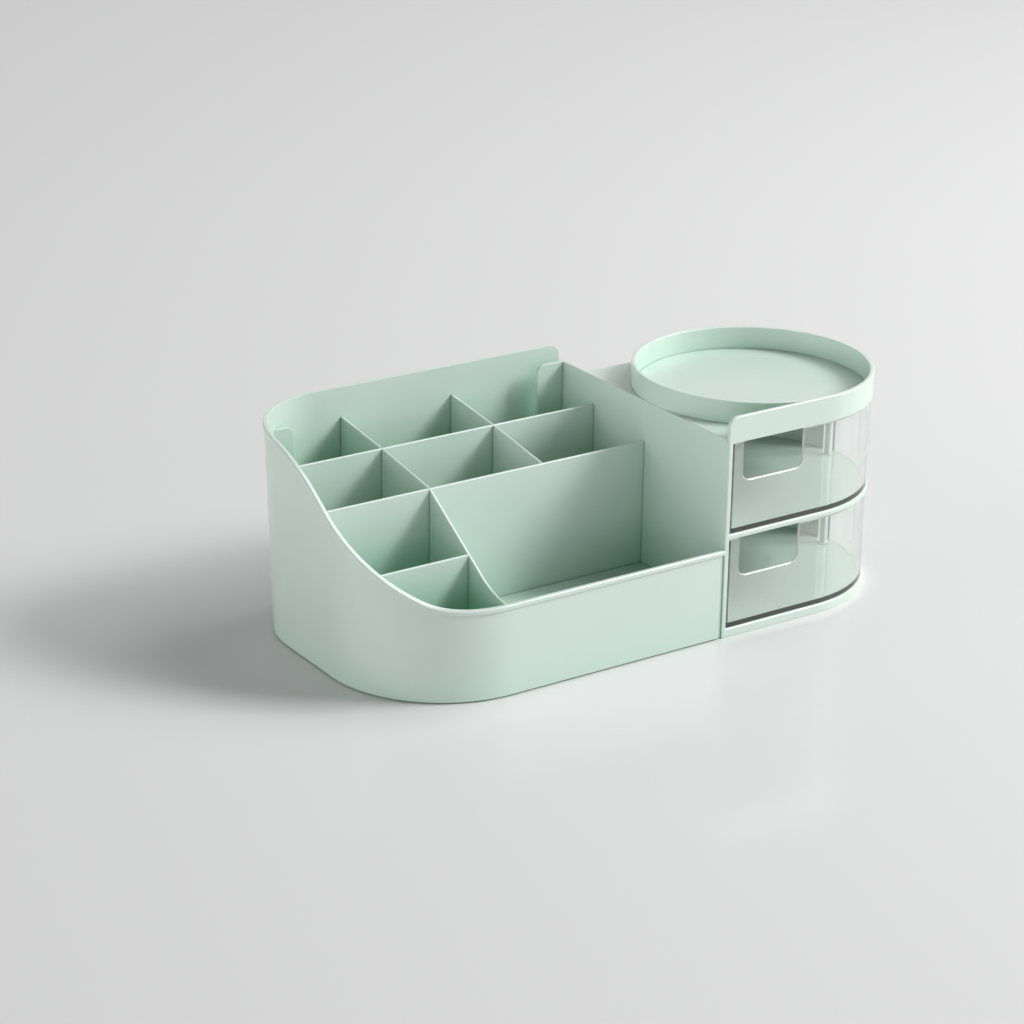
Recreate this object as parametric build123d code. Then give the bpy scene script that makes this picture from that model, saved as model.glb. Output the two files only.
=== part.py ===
from build123d import *
import os
from math import asin, atan2, cos, hypot, radians, sin, sqrt

# Desk organiser for make-up: an open tray with nine compartments, and beside it a
# D-shaped drawer housing with two clear drawers that swing out about an upright pin
# and a round rimmed tray on top.
#
# Millimetres, +Z up. X runs along the front from the tray (-X) to the drawers (+X) and
# Y runs from the front to the back. The pieces are drawn from the foot of the side
# panel's front left edge, and are moved at the end so that the origin is at the
# middle of the bottom of the whole organiser.

# ---------------------------------------------------------------- driving dimensions
# open tray
tray_length = 181.8          # side panel to the left wall's outer face, at the top
tray_depth = 148.0           # front face to the back wall's outer face
tray_back_height = 105.4
tray_front_height = 45.2     # top of the rim along the front
tray_wall = 1.4
tray_floor_top = 16.5        # the floor is raised, and the outer wall hangs below it
tray_floor_thickness = 2.0
front_corner_radius = 59.3   # plan radius of the front left corner
back_corner_radius = 45.3    # plan radius of the back left corner
left_wall_lean = 3.0         # the left wall's foot stands this far inside its top
back_wall_reach = 5.0        # the back wall runs this far past the side panel's face
back_wall_corner = 6.0       # rounding of the back wall's free top corner
tray_foot_chamfer = 0.8

# side sweep of the rim, from the low front up to the high back
sweep_foot_radius = 24.0     # arc that lifts it off the front rim
sweep_crest_radius = 103.0   # arc that levels it off at the top
sweep_crest_end = 126.5      # distance from the front where it is level again

# bead along the rim
bead_height = 2.1
bead_proud = 0.6
bead_chamfer = 0.4           # along its top outer edge

# shadow gap between the tray's front wall and the side panel
shadow_gap_width = 2.4
shadow_gap_depth = 0.8

edge_softening = 0.3         # small chamfer along free edges

# dividers
divider_thickness = 1.4
rear_divider_y = 109.2       # lengthwise dividers, by their middle planes
middle_divider_y = 66.6
front_divider_y = 33.0
rear_divider_top = 85.8
middle_divider_top = 79.5
left_partition_x = 121.6     # crosswise partitions, measured from the side panel
right_partition_x = 58.9
partition_back_top = 90.5
partition_foot_y = 22.0      # where the left partition's slope eases into the rim
partition_foot_top = 51.5
partition_front_top = 45.0
divider_fit = 0.15           # gap at walls and in the half-lap joints

# side panel between the tray and the drawers
panel_thickness = 2.2
panel_height = 100.0
panel_depth = 138.0
flange_width = 15.0          # upright flanges in front of the back wall
flange_thickness = 2.0
flange_corner = 4.0
left_flange_width = 27.5
left_flange_height = 94.5

# drawer housing
unit_width = 118.0           # also its depth: the round end has half of it as radius
base_thickness = 4.3
shelf_bottom = 50.0
shelf_thickness = 2.5
top_plate_bottom = 98.2
top_plate_thickness = 1.5
housing_wall = 2.0
housing_wall_inset = 1.2     # rear wall's outer face inside the plates' edge
housing_wall_end = 7.0       # degrees behind +X where the rear wall stops
tongue_length = 12.0
tongue_depth = 1.2
tongue_thickness = 1.2
tongue_recess = 0.4          # shelf tongues stop short of the rear wall's outer face
tongue_root = 1.0            # how far a tongue reaches back into its own plate
wall_tongue_angles = (90.0, 45.0)
joint_fit = 0.1              # gap round tongues and where the shelf meets the rear wall

# round tray on top
rim_top = 111.0
rim_wall = 2.0
fence_corner = 5.0

# swing-out drawers
drawer_wall = 1.8
drawer_floor = 2.0
drawer_gap_below = 0.3       # the drawer's boss stands on its shelf, the floor runs clear
drawer_gap_above = 0.6
drawer_front_inset = 0.8
drawer_side_gap = 0.8
drawer_back_gap = 0.8
notch_left = 9.4             # finger notch, from the side panel's left face
notch_width = 36.0
notch_depth = 19.5
notch_corner = 4.5
pin_inset = 7.5              # pin's axis inside the plates' round edge
pin_radius = 1.5
pin_fit = 0.05
pin_seat_base = 1.8          # depths of the pin's blind holes
pin_seat_top = 0.9
boss_wall = 2.0

# ---------------------------------------------------------------- worked-out places
unit_radius = unit_width / 2
round_centre = (unit_radius, unit_radius)
pivot_offset = unit_radius - pin_inset
pivot = (round_centre[0] + pivot_offset, round_centre[1])
pin_bottom = base_thickness - pin_seat_base
pin_top = top_plate_bottom + pin_seat_top
wall_outer_radius = unit_radius - housing_wall_inset
wall_inner_radius = wall_outer_radius - housing_wall
shelf_top = shelf_bottom + shelf_thickness
top_plate_top = top_plate_bottom + top_plate_thickness
tray_floor_bottom = tray_floor_top - tray_floor_thickness
base_middle = base_thickness / 2
shelf_middle = shelf_bottom + shelf_thickness / 2
top_plate_middle = top_plate_bottom + top_plate_thickness / 2
panel_tongue_places = (unit_width / 4, unit_width * 3 / 4)
plate_middles = (base_middle, shelf_middle, top_plate_middle)
tall = tray_back_height + 40.0            # taller than anything on the tray
overshoot = 5.0                           # how far cutting blocks reach past what they cut
middle_shift = Pos((tray_length + bead_proud - unit_width) / 2, -tray_depth / 2, 0)


# ---------------------------------------------------------------- shared helpers
def block(x0, x1, y0, y1, z0, z1):
    """Straight block between two corners."""
    return Pos((x0 + x1) / 2, (y0 + y1) / 2, (z0 + z1) / 2) * Box(x1 - x0, y1 - y0, z1 - z0)


def disc(centre, radius, z0, z1):
    """Upright round solid."""
    return Pos(centre[0], centre[1], z0) * extrude(Circle(radius), z1 - z0)


def side_profile(outline, x0, x1):
    """Solid between x0 and x1 with an outline drawn in depth and height."""
    face = make_face(outline)
    return Pos(x0, 0, 0) * extrude(face, x1 - x0, dir=(1, 0, 0))


def depth_height(y, z):
    return (0, y, z)


# ---------------------------------------------------------------- open tray
def tray_plan(lean, grow):
    """Plan of the tray: open side straight, two rounded left corners.

    grow moves the walls outward, and lean moves the left wall inward.
    """
    left = -tray_length + lean - grow
    front = -grow
    back = tray_depth + grow
    front_radius = front_corner_radius + grow
    back_radius = back_corner_radius + grow
    half = sqrt(0.5)
    front_start = (left + front_radius, front)
    front_mid = (left + front_radius * (1 - half), front + front_radius * (1 - half))
    front_end = (left, front + front_radius)
    back_start = (left, back - back_radius)
    back_mid = (left + back_radius * (1 - half), back - back_radius * (1 - half))
    back_end = (left + back_radius, back)
    outline = [
        Line((0, front), front_start),
        ThreePointArc(front_start, front_mid, front_end),
        Line(front_end, back_start),
        ThreePointArc(back_start, back_mid, back_end),
        Line(back_end, (0, back)),
        Line((0, back), (0, front)),
    ]
    return make_face(outline)


def tray_body(grow):
    """Solid with the tray's plan: its left end leans outward, and the rest is upright."""
    slant = hypot(left_wall_lean, tray_back_height)
    left_end = extrude(tray_plan(left_wall_lean, grow), slant,
                       dir=(-left_wall_lean, 0, tray_back_height))
    upright = block(-tray_length / 2, back_wall_reach, -grow, tray_depth + grow,
                    0, tray_back_height)
    return left_end + upright


def sweep_curve(lower=0.0):
    """Rim line seen from the side, front to back, lowered by a given amount.

    The straight middle stretch is the line that touches both the foot arc and the crest arc.
    """
    low, high = tray_front_height - lower, tray_back_height - lower
    foot_centre = (0.0, low + sweep_foot_radius)
    crest_centre = (sweep_crest_end, high - sweep_crest_radius)
    run, rise = crest_centre[0] - foot_centre[0], crest_centre[1] - foot_centre[1]
    slope = atan2(rise, run) + asin((sweep_foot_radius + sweep_crest_radius) / hypot(run, rise))
    foot_end = (foot_centre[0] + sweep_foot_radius * sin(slope),
                foot_centre[1] - sweep_foot_radius * cos(slope))
    crest_start = (crest_centre[0] - sweep_crest_radius * sin(slope),
                   crest_centre[1] + sweep_crest_radius * cos(slope))
    return [
        Line(depth_height(-2 * bead_proud, low), depth_height(0, low)),
        TangentArc(depth_height(0, low), depth_height(*foot_end), tangent=(0, 1, 0)),
        Line(depth_height(*foot_end), depth_height(*crest_start)),
        TangentArc(depth_height(*crest_start), depth_height(sweep_crest_end, high),
                   tangent=(0, cos(slope), sin(slope))),
        Line(depth_height(sweep_crest_end, high),
             depth_height(tray_depth + 2 * bead_proud, high)),
    ]


def above_rim(lower=0.0):
    """Everything above the rim line."""
    start = (-2 * bead_proud, tray_front_height - lower)
    end = (tray_depth + 2 * bead_proud, tray_back_height - lower)
    closing = [
        Line(depth_height(*end), depth_height(end[0], tall)),
        Line(depth_height(end[0], tall), depth_height(start[0], tall)),
        Line(depth_height(start[0], tall), depth_height(*start)),
    ]
    return side_profile(sweep_curve(lower) + closing, -tray_length - 2 * bead_proud,
                        back_wall_reach + overshoot)


def rim_bead():
    """Lip on the outside of the walls, just below the rim line, chamfered along its top."""
    ring = tray_body(bead_proud) - tray_body(-tray_wall / 2)
    bead = (ring & above_rim(bead_height)) - above_rim()
    within = tray_body(bead_proud / 2)
    upper = above_rim(bead_height / 2)
    top_edges = [edge for edge in bead.edges() if edge.length > 1.2 * bead_height
                 and upper.is_inside(edge @ 0.5) and not within.is_inside(edge @ 0.5)]
    return chamfer(top_edges, bead_chamfer)


def make_tray_shell():
    outside = tray_body(0)
    foot = [edge for edge in outside.edges().group_by(Axis.Z)[0] if edge.center().X < -tray_wall]
    inside = tray_body(-tray_wall)
    past_end = back_wall_reach + overshoot
    above_floor = inside & block(-tray_length, past_end, 0, tray_depth, tray_floor_top, tall)
    below_floor = inside & block(-tray_length, -tray_wall, 0, tray_depth,
                                 -overshoot, tray_floor_bottom)
    shell = chamfer(foot, tray_foot_chamfer) - above_floor - below_floor - above_rim()
    # shadow gap beside the side panel
    shell -= block(-shadow_gap_width, overshoot, -overshoot, shadow_gap_depth,
                   -overshoot, tray_front_height)
    shell += rim_bead()
    # past the side panel's face only the back wall goes on
    shell -= block(0, past_end, -2 * bead_proud, tray_depth - tray_wall, -overshoot, tall)
    return shell + left_flange() - free_corner_cut()


def left_flange():
    """Upright flange that stands off the back wall in the rear left compartment."""
    flange = block(-tray_length, -tray_length + left_flange_width, panel_depth - flange_thickness,
                   panel_depth, tray_floor_bottom, left_flange_height)
    corner = flange.edges().filter_by(Axis.Y).group_by(Axis.Z)[-1].sort_by(Axis.X)[-1]
    return fillet(corner, flange_corner) & tray_body(-tray_wall / 2)


def free_corner_cut():
    """What the rounding takes off the free top corner of the back wall."""
    centre_x = back_wall_reach - back_wall_corner
    centre_z = tray_back_height - back_wall_corner
    front, back = tray_depth - 2 * tray_wall, tray_depth + 2 * bead_proud
    square = block(centre_x, back_wall_reach + overshoot, front, back, centre_z, tall)
    round_part = Rot(90, 0, 0) * Cylinder(back_wall_corner, 2 * (back - front))
    return square - Pos(centre_x, tray_depth, centre_z) * round_part


# ---------------------------------------------------------------- dividers
def tray_room():
    """Space inside the tray's walls, less the dividers' fit."""
    return tray_body(-tray_wall - divider_fit)


def lengthwise_divider(y, top, crossings):
    """Upright panel along the tray, with half-lap slots open at the bottom."""
    half = divider_thickness / 2
    panel = block(-tray_length, 0, y - half, y + half, tray_floor_top, top)
    top_edges = panel.edges().filter_by(Axis.X).group_by(Axis.Z)[-1]
    panel = chamfer(top_edges, edge_softening) & tray_room()
    slot = half + divider_fit
    for x in crossings:
        panel -= block(x - slot, x + slot, y - overshoot, y + overshoot,
                       tray_floor_top - overshoot, lap_height(top))
    return panel


def lap_height(top):
    """Half-lap joints meet half way up the divider."""
    return (tray_floor_top + top) / 2


def partition_top(front_reach):
    """Top line of a crosswise partition, from the back wall forward, as depth and height."""
    back = (tray_depth, partition_back_top)
    rear = (rear_divider_y, rear_divider_top)
    middle = (middle_divider_y, middle_divider_top)
    foot = (partition_foot_y, partition_foot_top)
    lines = [Line(depth_height(*back), depth_height(*rear)),
             Line(depth_height(*rear), depth_height(*middle))]
    if not front_reach:
        return lines, back, middle
    run, rise = middle[0] - foot[0], middle[1] - foot[1]
    front = (0.0, partition_front_top)
    lines += [Line(depth_height(*middle), depth_height(*foot)),
              TangentArc(depth_height(*foot), depth_height(*front), tangent=(0, -run, -rise))]
    return lines, back, front


def crosswise_partition(x, front_reach, laps):
    """Upright panel from the back wall forward, with half-lap slots open at the top."""
    half = divider_thickness / 2
    lines, back, front = partition_top(front_reach)
    bottom = [Line(depth_height(*front), depth_height(front[0], tray_floor_top)),
              Line(depth_height(front[0], tray_floor_top), depth_height(back[0], tray_floor_top)),
              Line(depth_height(back[0], tray_floor_top), depth_height(*back))]
    panel = side_profile(lines + bottom, -x - half, -x + half)
    panel = chamfer(upper_side_edges(panel), edge_softening) & tray_room()
    slot = half + divider_fit
    for y, top in laps:
        panel -= block(-x - overshoot, -x + overshoot, y - slot, y + slot, lap_height(top), tall)
    return panel


def upper_side_edges(panel):
    """Both long edges along the top line of an upright crosswise panel."""
    def on_top(edge):
        way = edge.tangent_at(0.5)
        return abs(way.Y) > 0.1 and edge.center().Z > tray_floor_top + 1
    return panel.edges().filter_by(on_top)


def make_left_partition():
    laps = [(rear_divider_y, rear_divider_top), (middle_divider_y, middle_divider_top)]
    return crosswise_partition(left_partition_x, True, laps)


def make_right_partition():
    panel = crosswise_partition(right_partition_x, False, [(rear_divider_y, rear_divider_top)])
    ahead = middle_divider_y + divider_thickness / 2
    return panel - block(-right_partition_x - overshoot, -right_partition_x + overshoot,
                         0, ahead, 0, tall)


def make_rear_divider():
    return lengthwise_divider(rear_divider_y, rear_divider_top,
                              (-left_partition_x, -right_partition_x))


def make_middle_divider():
    return lengthwise_divider(middle_divider_y, middle_divider_top, (-left_partition_x,))


def make_front_divider():
    rise = middle_divider_top - partition_foot_top
    run = middle_divider_y - partition_foot_y
    top = partition_foot_top + rise / run * (front_divider_y - partition_foot_y)
    panel = lengthwise_divider(front_divider_y, top, ())
    right_end = -left_partition_x - divider_thickness / 2
    return panel - block(right_end, overshoot, 0, tray_depth, 0, tall)


# ---------------------------------------------------------------- drawer housing
def housing_plan(grow=0.0):
    """D-shaped plan of the housing from the side panel's inner face."""
    radius = unit_radius + grow
    cx, cy = round_centre
    left = panel_thickness
    outline = [
        Line((left, cy - radius), (cx, cy - radius)),
        ThreePointArc((cx, cy - radius), (cx + radius, cy), (cx, cy + radius)),
        Line((cx, cy + radius), (left, cy + radius)),
        Line((left, cy + radius), (left, cy - radius)),
    ]
    return make_face(outline)


def housing_plate(z0, z1, grow=0.0):
    return Pos(0, 0, z0) * extrude(housing_plan(grow), z1 - z0)


def rear_wall_band(z0, z1, gap=0.0):
    """Rear wall: straight behind the drawers, then round the D to its open side."""
    outer = housing_plate(z0, z1, -housing_wall_inset + gap)
    inner = housing_plate(z0, z1, -housing_wall_inset - housing_wall - gap)
    band = outer - inner
    cx, cy = round_centre
    end = radians(housing_wall_end)
    far = 2 * unit_radius
    # keep only what lies behind the line from the centre to the wall's end
    front_cut = make_face(Polyline((-far, cy), (cx, cy), (cx + far * cos(end), cy + far * sin(end)),
                                   (cx + far, cy - far), (-far, cy - far), close=True))
    return band - Pos(0, 0, z0 - overshoot) * extrude(front_cut, z1 - z0 + 2 * overshoot)


def wall_tongues(z0, z1, gap=0.0):
    """Tongues that carry the shelf in the rear wall."""
    cx, cy = round_centre
    reach = wall_outer_radius
    half = tongue_length / 2 + gap
    tongues = []
    for angle in wall_tongue_angles:
        tongue = block(reach - housing_wall - tongue_root, reach - tongue_recess, -half, half,
                       z0 - gap, z1 + gap)
        tongues.append(Pos(cx, cy, 0) * (Rot(0, 0, angle) * tongue))
    return tongues


def make_side_panel():
    body = block(0, panel_thickness, 0, panel_depth, 0, panel_height)
    left_edges = body.edges().filter_by(Axis.Y).group_by(Axis.Z)[-1].sort_by(Axis.X)[:1]
    left_edges += body.edges().filter_by(Axis.Z).group_by(Axis.Y)[0].sort_by(Axis.X)[:1]
    body = chamfer(left_edges, edge_softening)
    flange = block(-flange_width, panel_thickness, panel_depth - flange_thickness, panel_depth,
                   tray_floor_top, panel_height)
    free_corner = flange.edges().filter_by(Axis.Y).group_by(Axis.Z)[-1].sort_by(Axis.X)[0]
    body += fillet(free_corner, flange_corner)
    # the front fence of the round tray stands on the panel's front top corner
    body -= block(-overshoot, panel_thickness + overshoot, -overshoot, rim_wall,
                  top_plate_bottom, tall)
    for z in plate_middles:
        for tongue in panel_tongues(z, joint_fit):
            body -= tongue
    return body


def panel_tongues(z, gap=0.0):
    """Two tongues that enter the side panel at one height."""
    half = tongue_length / 2 + gap
    thick = tongue_thickness / 2 + gap
    return [block(panel_thickness - tongue_depth - gap, panel_thickness + tongue_root,
                  y - half, y + half, z - thick, z + thick) for y in panel_tongue_places]


def soft_edged_plate(z0, z1):
    """Housing plate with its free edges chamfered, top and bottom."""
    plate = housing_plate(z0, z1)
    free_edges = [edge for edge in plate.edges()
                  if edge.center().X > 2 * panel_thickness and abs(edge.tangent_at(0.5).Z) < 0.1]
    return chamfer(free_edges, edge_softening)


def make_base_plate():
    plate = soft_edged_plate(0, base_thickness)
    for tongue in panel_tongues(base_middle):
        plate += tongue
    return plate - disc(pivot, pin_radius + pin_fit, pin_bottom, tall)


def make_middle_shelf():
    below, above = shelf_bottom - overshoot, shelf_top + overshoot
    shelf = soft_edged_plate(shelf_bottom, shelf_top)
    shelf -= rear_wall_band(below, above, joint_fit)
    behind = housing_plate(below, above, overshoot) - housing_plate(
        below, above, -housing_wall_inset)
    rear_start = round_centre[1] + housing_wall_inset
    shelf -= behind & block(-overshoot, 2 * unit_width, rear_start, 2 * unit_width, 0, tall)
    for tongue in panel_tongues(shelf_middle) + wall_tongues(shelf_bottom, shelf_top):
        shelf += tongue
    return shelf - disc(pivot, pin_radius + pin_fit, below, tall)


def make_rear_wall():
    wall = rear_wall_band(base_thickness, top_plate_bottom)
    for tongue in wall_tongues(shelf_bottom, shelf_top, joint_fit):
        wall -= tongue
    return wall


def make_top_tray():
    plate = housing_plate(top_plate_bottom, top_plate_top)
    ring = disc(round_centre, unit_radius, top_plate_bottom, rim_top)
    ring -= disc(round_centre, unit_radius - rim_wall, top_plate_top, tall)
    fence = block(0, round_centre[0], 0, rim_wall, top_plate_bottom, rim_top)
    corner = fence.edges().filter_by(Axis.Y).group_by(Axis.Z)[-1].sort_by(Axis.X)[0]
    top = plate + ring + fillet(corner, fence_corner)
    # the plate lies beside the side panel, and the ring passes over it
    top -= block(-overshoot, panel_thickness, rim_wall, unit_width, 0, panel_height)
    for tongue in panel_tongues(top_plate_middle):
        top += tongue
    rim_edges = top.edges().group_by(Axis.Z)[-1]
    top = chamfer(rim_edges, edge_softening)
    return top - disc(pivot, pin_radius + pin_fit, 0, pin_top)


def make_pivot_pin():
    return disc(pivot, pin_radius, pin_bottom, pin_top)


# ---------------------------------------------------------------- drawers
drawer_left = panel_thickness + drawer_side_gap
drawer_front_radius = unit_radius - drawer_front_inset
drawer_back_radius = wall_inner_radius - drawer_back_gap
drawer_swing_radius = pivot[0] - drawer_left


def circle_meets_circle(first, first_radius, second, second_radius):
    """Upper crossing of two circles whose centres lie on one line along X."""
    gap = second[0] - first[0]
    along = (gap ** 2 + first_radius ** 2 - second_radius ** 2) / (2 * gap)
    return (first[0] + along, first[1] + sqrt(first_radius ** 2 - along ** 2))


def arc_middle(centre, radius, start, end):
    """Point half way along the shorter arc from start to end."""
    mx, my = (start[0] + end[0]) / 2 - centre[0], (start[1] + end[1]) / 2 - centre[1]
    length = sqrt(mx ** 2 + my ** 2)
    return (centre[0] + mx / length * radius, centre[1] + my / length * radius)


def drawer_plan(shrink=0.0):
    """Plan of a drawer, all of whose walls step inward together.

    Front left it is square, the back left is an arc about the pin so that it swings clear
    of the side panel, and the rest follows the housing to a rounded corner at the pin.
    """
    cx, cy = round_centre
    left = drawer_left + shrink
    front = drawer_front_inset + shrink
    front_radius = drawer_front_radius - shrink
    back_radius = drawer_back_radius - shrink
    swing_radius = drawer_swing_radius - shrink
    corner_radius = drawer_front_radius - pivot_offset - shrink
    back = cy + back_radius
    swing_start = (left, cy)
    swing_end = (pivot[0] - sqrt(swing_radius ** 2 - back_radius ** 2), back)
    tip = (cx + front_radius, cy)
    corner_end = circle_meets_circle(round_centre, back_radius, pivot, corner_radius)
    back_start = (cx, back)
    outline = [
        Line((left, front), (cx, front)),
        ThreePointArc((cx, front), arc_middle(round_centre, front_radius, (cx, front), tip), tip),
        ThreePointArc(tip, arc_middle(pivot, corner_radius, tip, corner_end), corner_end),
        ThreePointArc(corner_end, arc_middle(round_centre, back_radius, corner_end, back_start),
                      back_start),
        Line(back_start, swing_end),
        ThreePointArc(swing_end, arc_middle(pivot, swing_radius, swing_end, swing_start),
                      swing_start),
        Line(swing_start, (left, front)),
    ]
    return make_face(outline)


def make_drawer(seat, ceiling):
    """Clear drawer above a seat, below a ceiling, with its hinge boss at the pin."""
    bottom = seat + drawer_gap_below
    top = ceiling - drawer_gap_above
    body = Pos(0, 0, bottom) * extrude(drawer_plan(), top - bottom)
    body -= Pos(0, 0, bottom + drawer_floor) * extrude(drawer_plan(drawer_wall), top)
    body -= finger_notch(top)
    body = chamfer(lip_edges(body, top), edge_softening)
    body += disc(pivot, pin_radius + pin_fit + boss_wall, seat, top)
    return body - disc(pivot, pin_radius + pin_fit, seat - overshoot, top + overshoot)


def lip_edges(body, top):
    """Edges round the top of a drawer's walls and down round its finger notch."""
    notch_end = drawer_front_inset + 2 * drawer_wall
    def on_lip(edge):
        middle = edge.center()
        in_notch = notch_left - 0.1 < middle.X < notch_left + notch_width + 0.1
        below_top = top - notch_depth - 0.1 < middle.Z < top - 0.1
        runs_across = abs(edge.tangent_at(0.5).Y) > 0.9
        if middle.Z > top - 0.1:
            return not (in_notch and runs_across and middle.Y < notch_end)
        return in_notch and below_top and middle.Y < notch_end and not runs_across
    return body.edges().filter_by(on_lip)


def finger_notch(top):
    """Notch through the front wall, open at the top, with rounded lower corners."""
    cut = block(notch_left, notch_left + notch_width, -overshoot,
                drawer_front_inset + 2 * drawer_wall, top - notch_depth, top + 2 * notch_corner)
    lower = cut.edges().filter_by(Axis.Y).group_by(Axis.Z)[0]
    return fillet(lower, notch_corner)


def make_upper_drawer():
    return make_drawer(shelf_top, top_plate_bottom)


def make_lower_drawer():
    return make_drawer(base_thickness, shelf_bottom)


# ---------------------------------------------------------------- all pieces
pieces = {
    "tray_shell": make_tray_shell,
    "rear_divider": make_rear_divider,
    "middle_divider": make_middle_divider,
    "front_divider": make_front_divider,
    "left_partition": make_left_partition,
    "right_partition": make_right_partition,
    "side_panel": make_side_panel,
    "base_plate": make_base_plate,
    "middle_shelf": make_middle_shelf,
    "rear_wall": make_rear_wall,
    "top_tray": make_top_tray,
    "pivot_pin": make_pivot_pin,
    "upper_drawer": make_upper_drawer,
    "lower_drawer": make_lower_drawer,
}

os.makedirs("parts", exist_ok=True)
for name, make in pieces.items():
    export_step(middle_shift * make(), f"parts/{name}.step")
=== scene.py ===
from math import cos, radians, sin

import bpy
from mathutils import Matrix, Vector


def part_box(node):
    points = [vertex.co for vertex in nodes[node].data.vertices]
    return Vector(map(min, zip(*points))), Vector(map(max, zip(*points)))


# Pale mint make-up organizer: an open divided tray beside a round-ended housing with two clear
# swing-out drawers and a rimmed round tray on top. Metres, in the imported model's frame.
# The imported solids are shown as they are; this script gives them their finishes, the floor,
# the lights and the camera.

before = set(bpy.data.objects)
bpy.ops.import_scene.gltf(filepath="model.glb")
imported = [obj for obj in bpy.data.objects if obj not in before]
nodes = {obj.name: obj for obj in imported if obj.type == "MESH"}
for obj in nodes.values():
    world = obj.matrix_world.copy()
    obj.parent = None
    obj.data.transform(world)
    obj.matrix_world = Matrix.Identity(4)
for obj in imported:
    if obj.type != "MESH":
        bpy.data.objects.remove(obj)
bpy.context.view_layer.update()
scene = bpy.context.scene

# ---------------------------------------------------------------- camera
IMAGE_SIZE = 1024              # the photograph's width and height in pixels
FOCAL_PIXELS = 2834.46
SENSOR_MM = 36.0
CAMERA_PLACE = (-0.73566, -1.04145, 0.54810)
CAMERA_YAW = radians(33.79)    # from +Y toward +X
CAMERA_PITCH = radians(21.49)  # downward
CAMERA_ROLL = radians(0.7255)
CAMERA_NEAREST = 0.01          # nearest distance that the camera sees


def make_camera():
    data = bpy.data.cameras.new("camera")
    data.sensor_width = SENSOR_MM
    data.lens = FOCAL_PIXELS / IMAGE_SIZE * SENSOR_MM
    data.clip_start = CAMERA_NEAREST
    camera = bpy.data.objects.new("camera", data)
    scene.collection.objects.link(camera)
    forward = Vector((sin(CAMERA_YAW) * cos(CAMERA_PITCH), cos(CAMERA_YAW) * cos(CAMERA_PITCH),
                      -sin(CAMERA_PITCH)))
    level = Vector((cos(CAMERA_YAW), -sin(CAMERA_YAW), 0.0))
    upright = level.cross(forward)
    right = cos(CAMERA_ROLL) * level + sin(CAMERA_ROLL) * upright
    up = -sin(CAMERA_ROLL) * level + cos(CAMERA_ROLL) * upright
    turn = Matrix((right, up, -forward)).transposed()
    camera.matrix_world = Matrix.Translation(CAMERA_PLACE) @ turn.to_4x4()
    scene.camera = camera


# ---------------------------------------------------------------- building materials
def new_material(name):
    material = bpy.data.materials.new(name)
    material.use_nodes = True
    tree = material.node_tree
    tree.nodes.clear()
    output = tree.nodes.new("ShaderNodeOutputMaterial")
    return material, tree, output


def add_node(tree, kind, inputs=None, **settings):
    """Add a node, make its settings, and then fill in the inputs that have a fixed value."""
    node = tree.nodes.new(kind)
    for key, value in settings.items():
        setattr(node, key, value)
    for socket, value in (inputs or {}).items():
        node.inputs[socket].default_value = value
    return node


def add_noise(tree, coordinates, scale, detail=2.0):
    noise = add_node(tree, "ShaderNodeTexNoise", {"Scale": scale, "Detail": detail})
    tree.links.new(coordinates, noise.inputs["Vector"])
    return noise.outputs["Fac"]


def remap(tree, value, given, wanted, **settings):
    """Turn the given range of a value into the wanted one, and hold it at the two ends."""
    node = add_node(tree, "ShaderNodeMapRange",
                    {"From Min": given[0], "From Max": given[1],
                     "To Min": wanted[0], "To Max": wanted[1]}, **settings)
    tree.links.new(value, node.inputs["Value"])
    return node.outputs["Result"]


def blend_in(tree, colour, shade, share):
    """Mix a fixed shade into a colour, by a share that changes over the surface."""
    mix = add_node(tree, "ShaderNodeMix", {"B": (*shade, 1.0)}, data_type="RGBA")
    tree.links.new(share, mix.inputs["Factor"])
    tree.links.new(colour, mix.inputs["A"])
    return mix.outputs["Result"]


# ---------------------------------------------------------------- mint plastic
MINT_DARK = (0.62, 0.745, 0.68)
MINT_LIGHT = (0.65, 0.765, 0.70)
# painted highlight colour along the edges
MINT_EDGE_HIGHLIGHT = (0.84, 0.90, 0.87)
MINT_HOLLOW_SHADE = (0.42, 0.70, 0.54)     # painted shade, down between the walls
MINT_SEAM_SHADE = (0.10, 0.20, 0.15)     # painted shade where two pieces meet
PLASTIC_IOR = 1.49
MINT_COAT = 0.8
MINT_COAT_ROUGHNESS = 0.25
MINT_ROUGHNESS = (0.34, 0.46)
DRIFT_SCALE = 14.0                 # the slow drift between the dark and the light mint
DRIFT_DETAIL = 3.0
DRIFT_SPAN = (0.30, 0.70)
GRAIN_SCALE = 900.0                # the fine grain of the mould
GRAIN_STRENGTH = 0.06
GRAIN_DEPTH = 0.0002
BEVEL_SAMPLES = 4
SOFT_EDGE_RADIUS = 0.0004          # an edge catches the light as if rounded this far
EDGE_HIGHLIGHT_RADIUS = 0.0009          # and gets a painted highlight, a paler colour, this far from it
EDGE_HIGHLIGHT_LIKENESS = (0.995, 0.85)  # rounded normal against the face's own, flat to sharp
EDGE_HIGHLIGHT_AMOUNT = 0.75
SHADE_SAMPLES = 6
HOLLOW_PAINTED_SHADE = {"reach": 0.045, "openness": (0.12, 0.68), "amount": 0.95}
SEAM_PAINTED_SHADE = {"reach": 0.0013, "openness": (0.40, 0.75), "amount": 0.85}


def add_painted_shade(tree, colour, shade, only_own, reach, openness, amount):
    """Paint shade: turn the colour towards a darker shade where surfaces within reach leave it
    little openness.

    With only_own, the piece's own surfaces count, and not what stands around it.
    """
    closeness = add_node(tree, "ShaderNodeAmbientOcclusion", {"Distance": reach},
                         samples=SHADE_SAMPLES, only_local=only_own)
    share = remap(tree, closeness.outputs["AO"], openness, (amount, 0.0))
    return blend_in(tree, colour, shade, share)


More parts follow.
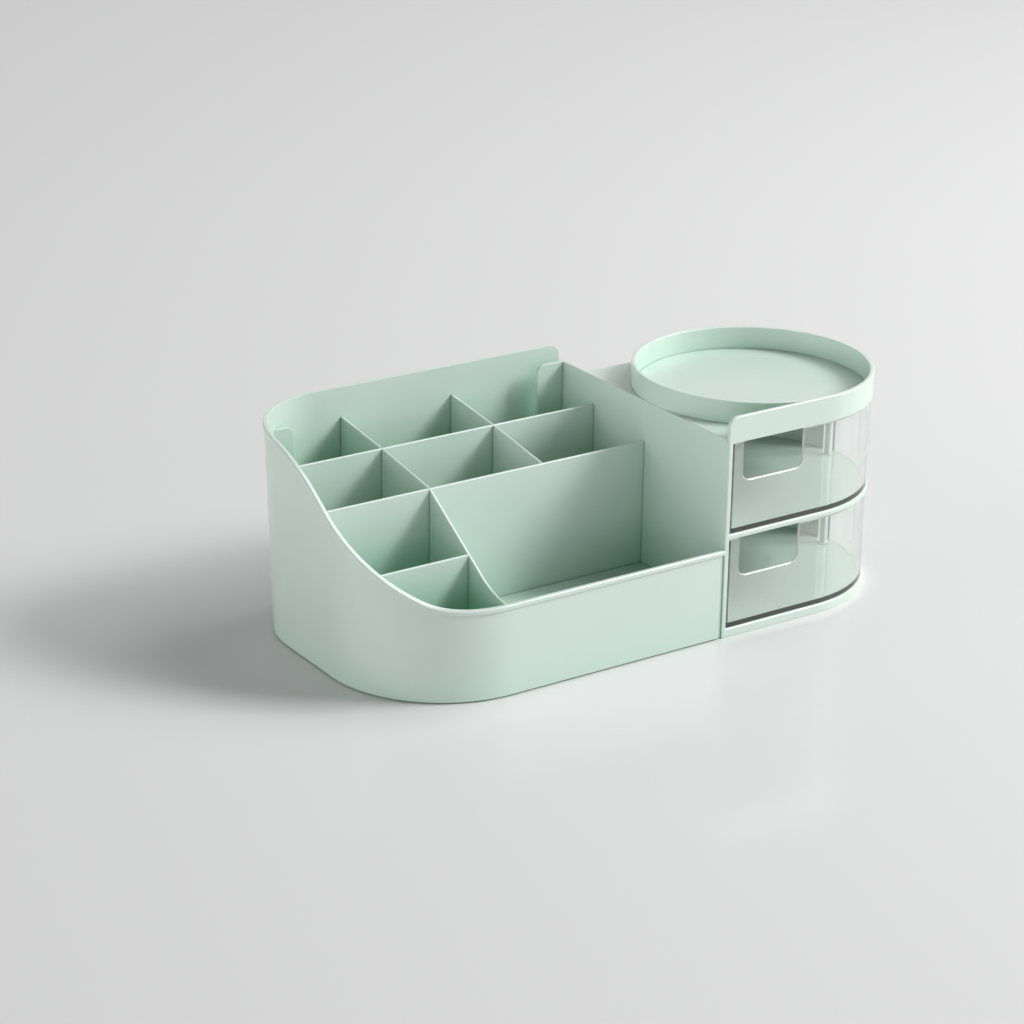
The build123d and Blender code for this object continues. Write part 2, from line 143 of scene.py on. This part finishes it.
def add_painted_edge_highlight(tree, colour):
    # Painted highlight: the colour turns paler where the rounded normal leaves the face's own,
    # along the edges.
    link = tree.links.new
    rounded = add_node(tree, "ShaderNodeBevel", {"Radius": EDGE_HIGHLIGHT_RADIUS},
                       samples=BEVEL_SAMPLES)
    geometry = add_node(tree, "ShaderNodeNewGeometry")
    likeness = add_node(tree, "ShaderNodeVectorMath", operation="DOT_PRODUCT")
    link(rounded.outputs["Normal"], likeness.inputs[0])
    link(geometry.outputs["Normal"], likeness.inputs[1])
    share = remap(tree, likeness.outputs["Value"], EDGE_HIGHLIGHT_LIKENESS, (0.0, EDGE_HIGHLIGHT_AMOUNT))
    return blend_in(tree, colour, MINT_EDGE_HIGHLIGHT, share)


def mint_colour(tree, coordinates, only_own):
    """Faintly drifting mint, with a painted highlight over edges, greener painted shade in
    hollows and dark painted shade down in the seams.
    """
    ramp = add_node(tree, "ShaderNodeValToRGB")
    stops = ramp.color_ramp.elements
    for stop, position, colour in zip(stops, DRIFT_SPAN, (MINT_DARK, MINT_LIGHT)):
        stop.position = position
        stop.color = (*colour, 1.0)
    drift = add_noise(tree, coordinates, DRIFT_SCALE, DRIFT_DETAIL)
    tree.links.new(drift, ramp.inputs["Fac"])
    edge_highlighted = add_painted_edge_highlight(tree, ramp.outputs["Color"])
    hollow_shaded = add_painted_shade(tree, edge_highlighted, MINT_HOLLOW_SHADE, only_own, **HOLLOW_PAINTED_SHADE)
    return add_painted_shade(tree, hollow_shaded, MINT_SEAM_SHADE, only_own, **SEAM_PAINTED_SHADE)


def mint_plastic(name, only_own):
    """Satin moulded plastic with a fine grain in its gloss and softened edges."""
    material, tree, output = new_material(name)
    link = tree.links.new
    shader = add_node(tree, "ShaderNodeBsdfPrincipled",
                      {"IOR": PLASTIC_IOR, "Coat Weight": MINT_COAT,
                       "Coat Roughness": MINT_COAT_ROUGHNESS})
    coordinates = add_node(tree, "ShaderNodeTexCoord").outputs["Object"]
    link(mint_colour(tree, coordinates, only_own), shader.inputs["Base Color"])
    grain = add_noise(tree, coordinates, GRAIN_SCALE)
    link(remap(tree, grain, (0.0, 1.0), MINT_ROUGHNESS), shader.inputs["Roughness"])
    soft_edge = add_node(tree, "ShaderNodeBevel", {"Radius": SOFT_EDGE_RADIUS},
                         samples=BEVEL_SAMPLES)
    bump = add_node(tree, "ShaderNodeBump",
                    {"Strength": GRAIN_STRENGTH, "Distance": GRAIN_DEPTH})
    link(grain, bump.inputs["Height"])
    link(soft_edge.outputs["Normal"], bump.inputs["Normal"])
    link(bump.outputs["Normal"], shader.inputs["Normal"])
    link(shader.outputs["BSDF"], output.inputs["Surface"])
    return material


# ---------------------------------------------------------------- clear plastic
CLEAR_TINT = (0.955, 0.975, 0.965, 1.0)
LAMP_TINT = (0.985, 0.99, 0.988, 1.0)   # share of the lamps' light that passes each face
CLEAR_ROUGHNESS = (0.0, 0.04)
HAZE_SCALE = 40.0
CLEARNESS = 0.98
EDGE_HIGHLIGHT_CLEARNESS = 0.45                   # cut edges made milky, a painted highlight along the lip and notch
REFLECTION_VEIL_CLEARNESS = (0.79, 0.94)           # painted reflection on the inner wall faces, from the straight to the round end
REFLECTION_VEIL_SPAN = (0.060, 0.135)              # where along the drawer the painted reflection thins out


def thinning_painted_reflection(tree, coordinates, clearness):
    """Clearness that rises along the drawer, towards its round end, where the painted reflection
    thins out.
    """
    place = add_node(tree, "ShaderNodeSeparateXYZ")
    tree.links.new(coordinates, place.inputs["Vector"])
    return remap(tree, place.outputs["X"], REFLECTION_VEIL_SPAN, clearness, interpolation_type="SMOOTHSTEP")


def clear_plastic(name, clearness, clearness_right=None):
    """Polished plastic that lets the lamps through; less clear, it turns milky, which paints
    a reflection on the drawers' inner walls and a highlight on their cut edges.

    With a second clearness, the painted reflection thins out towards the drawer's round end.
    """
    material, tree, output = new_material(name)
    link = tree.links.new
    shader = add_node(tree, "ShaderNodeBsdfPrincipled",
                      {"Base Color": CLEAR_TINT, "IOR": PLASTIC_IOR,
                       "Transmission Weight": clearness})
    coordinates = add_node(tree, "ShaderNodeTexCoord").outputs["Object"]
    haze = add_noise(tree, coordinates, HAZE_SCALE)
    link(remap(tree, haze, (0.0, 1.0), CLEAR_ROUGHNESS), shader.inputs["Roughness"])
    if clearness_right is not None:
        painted_reflection = thinning_painted_reflection(tree, coordinates, (clearness, clearness_right))
        link(painted_reflection, shader.inputs["Transmission Weight"])
    see_through = add_node(tree, "ShaderNodeBsdfTransparent", {"Color": LAMP_TINT})
    path = add_node(tree, "ShaderNodeLightPath")
    lights_others = add_node(tree, "ShaderNodeMath", operation="MAXIMUM")
    link(path.outputs["Is Shadow Ray"], lights_others.inputs[0])
    link(path.outputs["Is Diffuse Ray"], lights_others.inputs[1])
    mix = add_node(tree, "ShaderNodeMixShader")
    link(lights_others.outputs["Value"], mix.inputs["Fac"])
    link(shader.outputs["BSDF"], mix.inputs[1])
    link(see_through.outputs["BSDF"], mix.inputs[2])
    link(mix.outputs["Shader"], output.inputs["Surface"])
    return material


# ---------------------------------------------------------------- finishes on the pieces
# These get painted shade from their own hollows only, because the clear drawers would count as
# walls.
AROUND_DRAWERS = ("base_plate", "middle_shelf", "rear_wall", "top_tray", "pivot_pin")
DRAWER_WALL = 0.0018           # wall thickness of a clear drawer
LIP_BAND = 0.0005              # height of its softened top edge
NOTCH_CLEARANCE = 0.004        # notch, from the drawer's left end
NOTCH_REACH = 0.045
NOTCH_DEPTH = 0.0200
UPRIGHT_BELOW = 0.5            # a face whose normal rises less than this stands upright
LIP_ABOVE = 0.3                # and one whose normal rises more than this is on the lip
FRONT_FACING = 0.9             # a normal with this much Y is the front wall's broad face


def set_finish(node_name, material):
    mesh = nodes[node_name].data
    for index in range(len(mesh.materials)):
        mesh.materials[index] = material


def set_face_finish(node_name, material, choose):
    """Give the faces that choose(centre, normal) picks a finish of their own."""
    mesh = nodes[node_name].data
    mesh.materials.append(material)
    last_slot = len(mesh.materials) - 1
    for face in mesh.polygons:
        if choose(face.center, face.normal):
            face.material_index = last_slot


def drawer_inside_test(node_name):
    """Picks the faces of a drawer's walls that look into its tray."""
    low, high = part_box(node_name)
    middle = Vector(((low[0] + high[0]) / 2, (low[1] + high[1]) / 2, 0.0))

    def is_inside(centre, normal):
        return abs(normal.z) < UPRIGHT_BELOW and normal.dot(middle - centre) > 0.0
    return is_inside


def drawer_edge_test(node_name):
    """Picks the cut edges of a drawer: its lip and the sides of its finger notch."""
    low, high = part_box(node_name)

    def is_cut_edge(centre, normal):
        if centre.z > high[2] - LIP_BAND and normal.z > LIP_ABOVE:
            return True
        in_front_wall = centre.y < low[1] + DRAWER_WALL and abs(normal.y) < FRONT_FACING
        beside_notch = low[0] + NOTCH_CLEARANCE < centre.x < low[0] + NOTCH_REACH
        return in_front_wall and beside_notch and centre.z > high[2] - NOTCH_DEPTH
    return is_cut_edge


def finish_pieces():
    mint = mint_plastic("mint_plastic", False)
    mint_housing = mint_plastic("mint_plastic_housing", True)
    clear = clear_plastic("clear_plastic", CLEARNESS)
    clear_painted_reflection = clear_plastic("clear_plastic_painted_reflection", *REFLECTION_VEIL_CLEARNESS)
    clear_edge_highlight = clear_plastic("clear_plastic_edge_highlight", EDGE_HIGHLIGHT_CLEARNESS)
    for name in nodes:
        if name.endswith("_drawer"):
            set_finish(name, clear)
            # the inner wall faces get a milky painted reflection
            set_face_finish(name, clear_painted_reflection, drawer_inside_test(name))
            # the cut edges get a milky painted highlight
            set_face_finish(name, clear_edge_highlight, drawer_edge_test(name))
        else:
            set_finish(name, mint_housing if name in AROUND_DRAWERS else mint)


# ---------------------------------------------------------------- studio
FLOOR_REACH = 6.0
FLOOR_COLOUR = (0.74, 0.74, 0.745, 1.0)
FLOOR_IOR = 1.40
FLOOR_ROUGHNESS = (0.10, 0.18)
FLOOR_PATCH_SCALE = 3.0
WHITE = (1.0, 1.0, 1.0, 1.0)
HORIZON_LIGHT = 1.17
ZENITH_LIGHT = 0.05
ZENITH_FROM = 0.7              # the surround has its zenith light from this height up
# Name, place, aim, width and height, power in watts.
LAMPS = (
    ("key", (2.0, -1.35, 1.85), (0.0, 0.0, 0.05), (1.0, 1.0), 69.0),
    ("left_fill", (-2.2, 0.5, 0.6), (0.0, 0.0, 0.05), (1.6, 0.9), 12.0),
    ("top_fill", (1.4, -0.2, 1.9), (0.1, 0.0, 0.0), (1.4, 1.4), 23.0),
)


def floor_finish():
    """Pale coated table top with a soft sheen that is nowhere quite even."""
    material, tree, output = new_material("studio_floor")
    shader = add_node(tree, "ShaderNodeBsdfPrincipled",
                      {"Base Color": FLOOR_COLOUR, "IOR": FLOOR_IOR})
    coordinates = add_node(tree, "ShaderNodeTexCoord").outputs["Object"]
    patches = add_noise(tree, coordinates, FLOOR_PATCH_SCALE)
    sheen = remap(tree, patches, (0.0, 1.0), FLOOR_ROUGHNESS)
    tree.links.new(sheen, shader.inputs["Roughness"])
    tree.links.new(shader.outputs["BSDF"], output.inputs["Surface"])
    return material


def make_floor():
    mesh = bpy.data.meshes.new("studio_floor")
    corners = [(FLOOR_REACH * x, FLOOR_REACH * y, 0.0)
               for x, y in ((-1, -1), (1, -1), (1, 1), (-1, 1))]
    mesh.from_pydata(corners, [], [(0, 1, 2, 3)])
    mesh.materials.append(floor_finish())
    floor = bpy.data.objects.new("studio_floor", mesh)
    scene.collection.objects.link(floor)


def make_lamp(name, place, aim, size, power):
    data = bpy.data.lights.new(name, "AREA")
    data.shape = "RECTANGLE"
    data.size, data.size_y = size
    data.energy = power
    lamp = bpy.data.objects.new(name, data)
    lamp.location = place
    direction = Vector(aim) - Vector(place)
    lamp.rotation_euler = direction.to_track_quat("-Z", "Y").to_euler()
    scene.collection.objects.link(lamp)


def make_world():
    """White surround, bright round the horizon and dim overhead."""
    world = bpy.data.worlds.new("studio")
    world.use_nodes = True
    tree = world.node_tree
    background = tree.nodes["Background"]
    background.inputs["Color"].default_value = WHITE
    coordinates = add_node(tree, "ShaderNodeTexCoord")
    split = add_node(tree, "ShaderNodeSeparateXYZ")
    tree.links.new(coordinates.outputs["Generated"], split.inputs["Vector"])
    strength = remap(tree, split.outputs["Z"], (0.0, ZENITH_FROM), (HORIZON_LIGHT, ZENITH_LIGHT))
    tree.links.new(strength, background.inputs["Strength"])
    scene.world = world


make_camera()
make_floor()
make_world()
for lamp_values in LAMPS:
    make_lamp(*lamp_values)
scene.view_settings.view_transform = "Standard"
finish_pieces()
